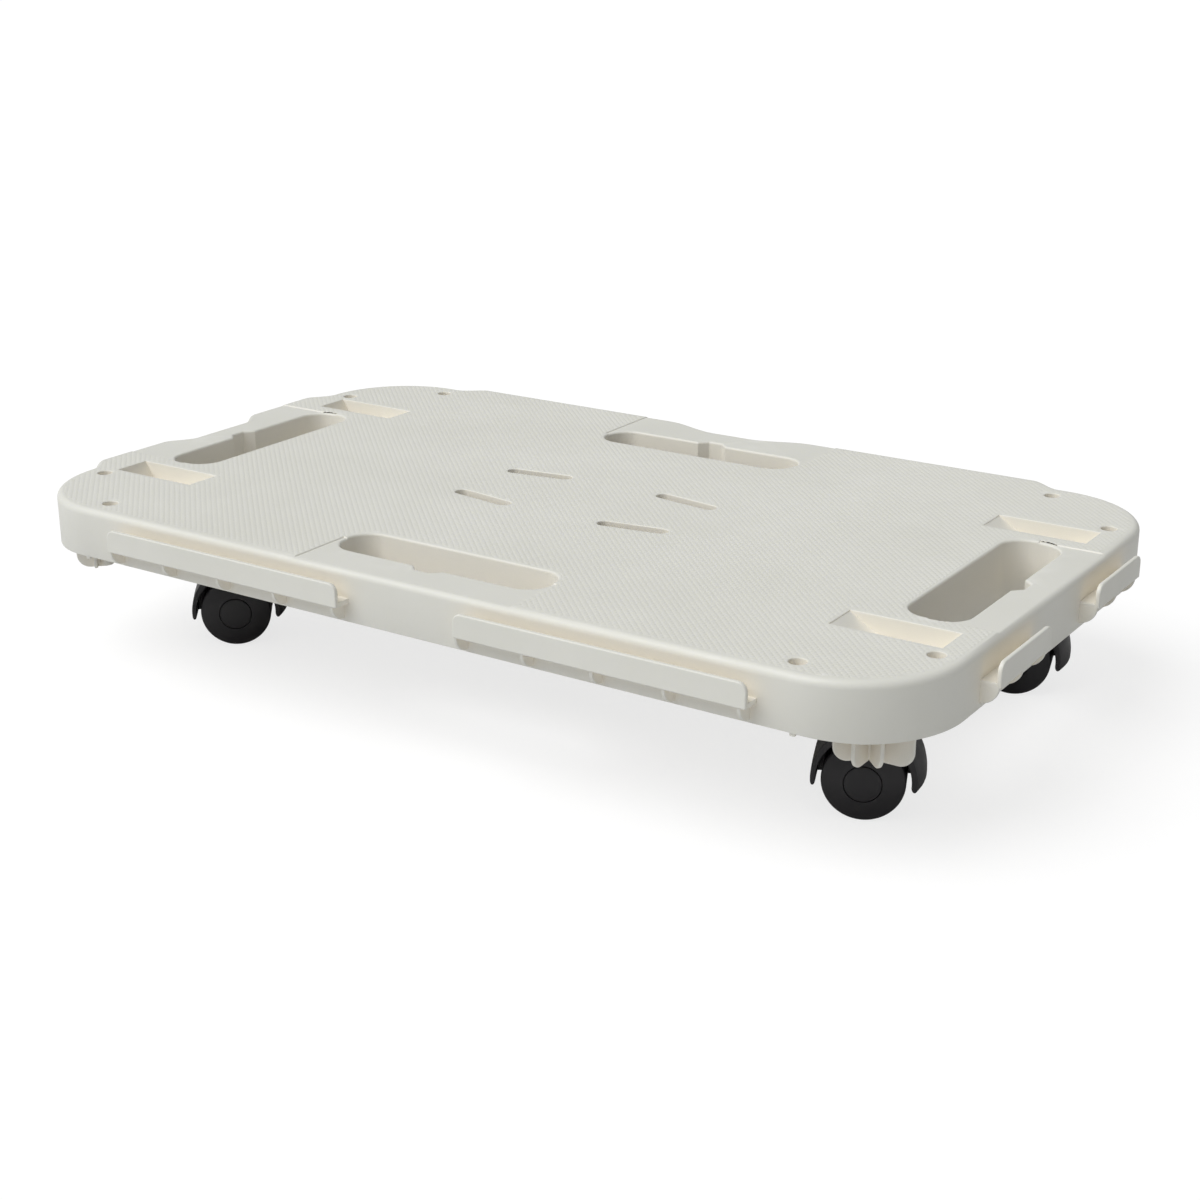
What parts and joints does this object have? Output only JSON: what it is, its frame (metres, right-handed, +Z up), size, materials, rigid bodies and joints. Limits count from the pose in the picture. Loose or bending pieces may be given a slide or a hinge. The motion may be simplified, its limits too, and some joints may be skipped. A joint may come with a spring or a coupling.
{
  "type": "joinable platform dolly",
  "caption": "Rectangular moulded platform dolly with hand holds, tie-down pockets, joining rails and lips, on hooded twin-wheel swivel casters.",
  "frame": {"origin": "on the floor plane, below the middle of the deck", "axes": "+X along the long side, -Y towards the front side with the long upturned rails, +Z up"},
  "size_m": [0.601, 0.369, 0.098],
  "materials": {
    "deck_plastic": "warm off-white moulded polypropylene, fine matte grain",
    "caster_plastic": "charcoal black moulded nylon, soft matte grain",
    "wheel_plastic": "black moulded nylon, softly satin",
    "steel": "zinc plated, satin",
    "spring_steel": "spring steel, satin"
  },
  "bodies": {
    "deck": {"deck": "deck_plastic", "fl_socket": "steel", "fr_socket": "steel", "bl_socket": "steel", "br_socket": "steel"},
    "fl_swivel": {"fl_stem": "steel", "fl_grip_ring": "spring_steel", "fl_hood": "caster_plastic", "fl_axle": "steel", "fl_axle_clips": "spring_steel"},
    "fl_left_wheel": {"fl_wheel_left": "wheel_plastic", "fl_cap_left": "caster_plastic"},
    "fl_right_wheel": {"fl_wheel_right": "wheel_plastic", "fl_cap_right": "caster_plastic"},
    "fr_swivel": {"fr_stem": "steel", "fr_grip_ring": "spring_steel", "fr_hood": "caster_plastic", "fr_axle": "steel", "fr_axle_clips": "spring_steel"},
    "fr_left_wheel": {"fr_wheel_left": "wheel_plastic", "fr_cap_left": "caster_plastic"},
    "fr_right_wheel": {"fr_wheel_right": "wheel_plastic", "fr_cap_right": "caster_plastic"},
    "bl_swivel": {"bl_stem": "steel", "bl_grip_ring": "spring_steel", "bl_hood": "caster_plastic", "bl_axle": "steel", "bl_axle_clips": "spring_steel"},
    "bl_left_wheel": {"bl_wheel_left": "wheel_plastic", "bl_cap_left": "caster_plastic"},
    "bl_right_wheel": {"bl_wheel_right": "wheel_plastic", "bl_cap_right": "caster_plastic"},
    "br_swivel": {"br_stem": "steel", "br_grip_ring": "spring_steel", "br_hood": "caster_plastic", "br_axle": "steel", "br_axle_clips": "spring_steel"},
    "br_left_wheel": {"br_wheel_left": "wheel_plastic", "br_cap_left": "caster_plastic"},
    "br_right_wheel": {"br_wheel_right": "wheel_plastic", "br_cap_right": "caster_plastic"}
  },
  "joints": [
    {"name": "fl_swivel", "type": "hinge", "parent": "deck", "child": "fl_swivel", "pos_m": [-0.2133, -0.0981, 0.06], "axis": [0, 0, 1], "continuous": true},
    {"name": "fl_left_spin", "type": "hinge", "parent": "fl_swivel", "child": "fl_left_wheel", "pos_m": [-0.19879, -0.08614, 0.021], "axis": [-0.6361, 0.7716, 0], "continuous": true},
    {"name": "fl_right_spin", "type": "hinge", "parent": "fl_swivel", "child": "fl_right_wheel", "pos_m": [-0.19879, -0.08614, 0.021], "axis": [-0.6361, 0.7716, 0], "continuous": true},
    {"name": "fr_swivel", "type": "hinge", "parent": "deck", "child": "fr_swivel", "pos_m": [0.2133, -0.0981, 0.06], "axis": [0, 0, 1], "continuous": true},
    {"name": "fr_left_spin", "type": "hinge", "parent": "fr_swivel", "child": "fr_left_wheel", "pos_m": [0.23073, -0.09106, 0.021], "axis": [-0.3746, 0.9272, 0], "continuous": true},
    {"name": "fr_right_spin", "type": "hinge", "parent": "fr_swivel", "child": "fr_right_wheel", "pos_m": [0.23073, -0.09106, 0.021], "axis": [-0.3746, 0.9272, 0], "continuous": true},
    {"name": "bl_swivel", "type": "hinge", "parent": "deck", "child": "bl_swivel", "pos_m": [-0.2133, 0.0981, 0.06], "axis": [0, 0, 1], "continuous": true},
    {"name": "bl_left_spin", "type": "hinge", "parent": "bl_swivel", "child": "bl_left_wheel", "pos_m": [-0.1967, 0.10693, 0.021], "axis": [-0.4695, 0.8829, 0], "continuous": true},
    {"name": "bl_right_spin", "type": "hinge", "parent": "bl_swivel", "child": "bl_right_wheel", "pos_m": [-0.1967, 0.10693, 0.021], "axis": [-0.4695, 0.8829, 0], "continuous": true},
    {"name": "br_swivel", "type": "hinge", "parent": "deck", "child": "br_swivel", "pos_m": [0.2133, 0.0981, 0.06], "axis": [0, 0, 1], "continuous": true},
    {"name": "br_left_spin", "type": "hinge", "parent": "br_swivel", "child": "br_left_wheel", "pos_m": [0.23142, 0.10312, 0.021], "axis": [-0.2672, 0.9636, 0], "continuous": true},
    {"name": "br_right_spin", "type": "hinge", "parent": "br_swivel", "child": "br_right_wheel", "pos_m": [0.23142, 0.10312, 0.021], "axis": [-0.2672, 0.9636, 0], "continuous": true}
  ]
}
